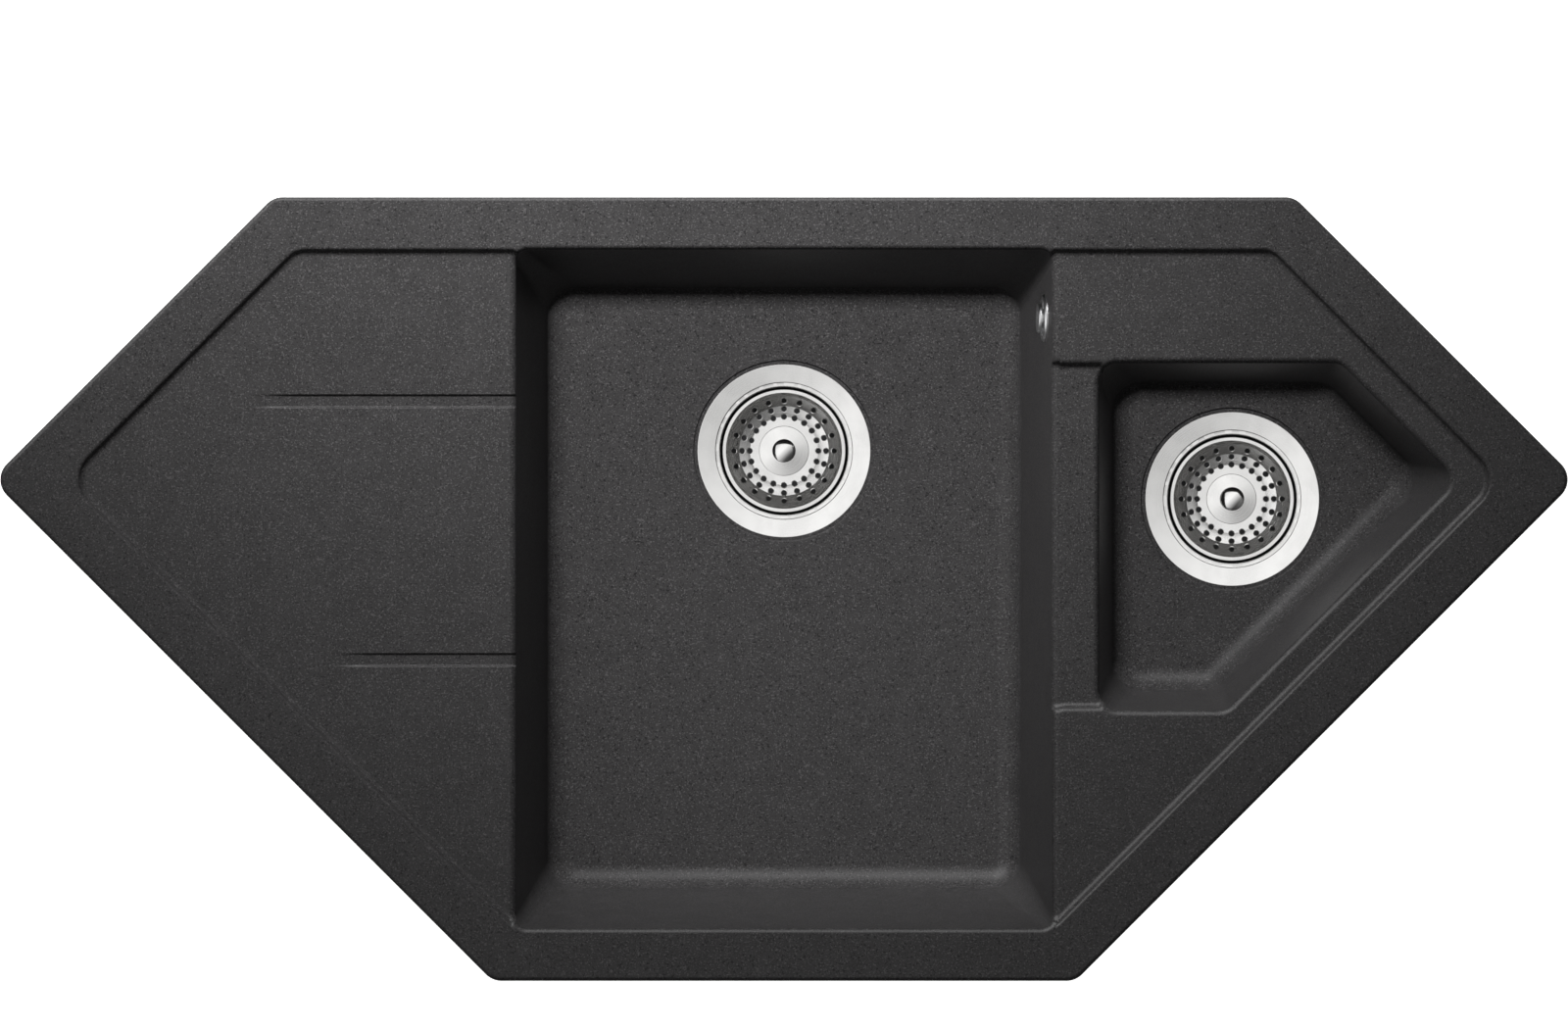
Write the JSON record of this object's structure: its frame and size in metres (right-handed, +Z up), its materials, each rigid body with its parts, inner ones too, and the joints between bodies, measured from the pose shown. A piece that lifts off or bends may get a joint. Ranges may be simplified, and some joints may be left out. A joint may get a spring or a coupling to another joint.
{
  "type": "corner kitchen sink",
  "caption": "Corner kitchen sink with a main bowl, a half bowl and a drainer, basket strainers, an overflow, drain pipes and worktop clamps.",
  "frame": {"origin": "middle of the outline in plan, on the plane of the worktop that the rim lies on", "axes": "+X along the sink to its right-hand side corner, +Y from the front edge to the back edge, +Z up"},
  "size_m": [1.06, 0.53, 0.388],
  "materials": {
    "composite": "cast stone composite, fine speckle, matt",
    "stainless": "pressed, satin",
    "chrome": "polished plating",
    "zinc_steel": "zinc plated",
    "rubber": "matt",
    "foam": "closed-cell foam",
    "black_plastic": "moulded",
    "white_plastic": "moulded"
  },
  "bodies": {
    "sink": {"bracket_screws": "zinc_steel", "branch_nut": "white_plastic", "branch_washer": "rubber", "clamp_brackets": "zinc_steel", "cross_pipe": "white_plastic", "drain_tee": "white_plastic", "half_centre_screw": "stainless", "half_flange_gasket": "rubber", "half_lower_gasket": "rubber", "half_outlet_nut": "white_plastic", "half_outlet_washer": "rubber", "half_strainer_cup": "stainless", "half_waste_body": "black_plastic", "lower_hose_clip": "zinc_steel", "main_centre_screw": "stainless", "main_flange_gasket": "rubber", "main_lower_gasket": "rubber", "main_outlet_nut": "white_plastic", "main_outlet_washer": "rubber", "main_strainer_cup": "stainless", "main_waste_body": "black_plastic", "overflow_cover": "chrome", "overflow_gasket": "rubber", "overflow_head": "black_plastic", "overflow_pipe": "white_plastic", "overflow_screw": "chrome", "rim_seal": "foam", "sink_body": "composite", "upper_hose_clip": "zinc_steel"},
    "clamp_screw_1": {"clamp_screw_1": "zinc_steel"},
    "clamp_claw_1": {"clamp_claw_1": "zinc_steel"},
    "clamp_screw_2": {"clamp_screw_2": "zinc_steel"},
    "clamp_claw_2": {"clamp_claw_2": "zinc_steel"},
    "clamp_screw_3": {"clamp_screw_3": "zinc_steel"},
    "clamp_claw_3": {"clamp_claw_3": "zinc_steel"},
    "clamp_screw_4": {"clamp_screw_4": "zinc_steel"},
    "clamp_claw_4": {"clamp_claw_4": "zinc_steel"},
    "clamp_screw_5": {"clamp_screw_5": "zinc_steel"},
    "clamp_claw_5": {"clamp_claw_5": "zinc_steel"},
    "clamp_screw_6": {"clamp_screw_6": "zinc_steel"},
    "clamp_claw_6": {"clamp_claw_6": "zinc_steel"},
    "clamp_screw_7": {"clamp_screw_7": "zinc_steel"},
    "clamp_claw_7": {"clamp_claw_7": "zinc_steel"},
    "clamp_screw_8": {"clamp_screw_8": "zinc_steel"},
    "clamp_claw_8": {"clamp_claw_8": "zinc_steel"},
    "main_stopper": {"main_basket_stem": "black_plastic", "main_basket_seal": "rubber"},
    "main_basket": {"main_basket": "stainless", "main_basket_knob": "chrome"},
    "half_stopper": {"half_basket_stem": "black_plastic", "half_basket_seal": "rubber"},
    "half_basket": {"half_basket": "stainless", "half_basket_knob": "chrome"}
  },
  "joints": [
    {"name": "clamp_rise_1", "type": "slide", "parent": "sink", "child": "clamp_screw_1", "axis": [0, 0, 1], "range_m": [0, 0.02]},
    {"name": "claw_swing_1", "type": "hinge", "parent": "clamp_screw_1", "child": "clamp_claw_1", "pos_m": [0.36954, -0.06156, -0.061], "axis": [0, 0, -1], "range_deg": [0, 90]},
    {"name": "clamp_rise_2", "type": "slide", "parent": "sink", "child": "clamp_screw_2", "axis": [0, 0, 1], "range_m": [0, 0.02]},
    {"name": "claw_swing_2", "type": "hinge", "parent": "clamp_screw_2", "child": "clamp_claw_2", "pos_m": [0.39722, 0.18188, -0.061], "axis": [0, 0, -1], "range_deg": [0, 90]},
    {"name": "clamp_rise_3", "type": "slide", "parent": "sink", "child": "clamp_screw_3", "axis": [0, 0, 1], "range_m": [0, 0.02]},
    {"name": "claw_swing_3", "type": "hinge", "parent": "clamp_screw_3", "child": "clamp_claw_3", "pos_m": [0.214, 0.243, -0.061], "axis": [0, 0, -1], "range_deg": [0, 90]},
    {"name": "clamp_rise_4", "type": "slide", "parent": "sink", "child": "clamp_screw_4", "axis": [0, 0, 1], "range_m": [0, 0.02]},
    {"name": "claw_swing_4", "type": "hinge", "parent": "clamp_screw_4", "child": "clamp_claw_4", "pos_m": [-0.266, 0.243, -0.061], "axis": [0, 0, -1], "range_deg": [0, 90]},
    {"name": "clamp_rise_5", "type": "slide", "parent": "sink", "child": "clamp_screw_5", "axis": [0, 0, 1], "range_m": [0, 0.02]},
    {"name": "claw_swing_5", "type": "hinge", "parent": "clamp_screw_5", "child": "clamp_claw_5", "pos_m": [-0.43399, 0.14511, -0.061], "axis": [0, 0, -1], "range_deg": [0, 90]},
    {"name": "clamp_rise_6", "type": "slide", "parent": "sink", "child": "clamp_screw_6", "axis": [0, 0, 1], "range_m": [0, 0.02]},
    {"name": "claw_swing_6", "type": "hinge", "parent": "clamp_screw_6", "child": "clamp_claw_6", "pos_m": [-0.33277, -0.09833, -0.061], "axis": [0, 0, -1], "range_deg": [0, 90]},
    {"name": "clamp_rise_7", "type": "slide", "parent": "sink", "child": "clamp_screw_7", "axis": [0, 0, 1], "range_m": [0, 0.02]},
    {"name": "claw_swing_7", "type": "hinge", "parent": "clamp_screw_7", "child": "clamp_claw_7", "pos_m": [-0.074, -0.243, -0.061], "axis": [0, 0, -1], "range_deg": [0, 90]},
    {"name": "clamp_rise_8", "type": "slide", "parent": "sink", "child": "clamp_screw_8", "axis": [0, 0, 1], "range_m": [0, 0.02]},
    {"name": "claw_swing_8", "type": "hinge", "parent": "clamp_screw_8", "child": "clamp_claw_8", "pos_m": [0.126, -0.243, -0.061], "axis": [0, 0, -1], "range_deg": [0, 90]},
    {"name": "main_basket_lift", "type": "slide", "parent": "sink", "child": "main_stopper", "axis": [0, 0, 1], "range_m": [0, 0.06]},
    {"name": "main_basket_turn", "type": "hinge", "parent": "main_stopper", "child": "main_basket", "pos_m": [0, 0.0943, -0.182], "axis": [0, 0, 1], "continuous": true},
    {"name": "half_basket_lift", "type": "slide", "parent": "sink", "child": "half_stopper", "axis": [0, 0, 1], "range_m": [0, 0.06]},
    {"name": "half_basket_turn", "type": "hinge", "parent": "half_stopper", "child": "half_basket", "pos_m": [0.30689, 0.0611, -0.122], "axis": [0, 0, 1], "continuous": true}
  ]
}
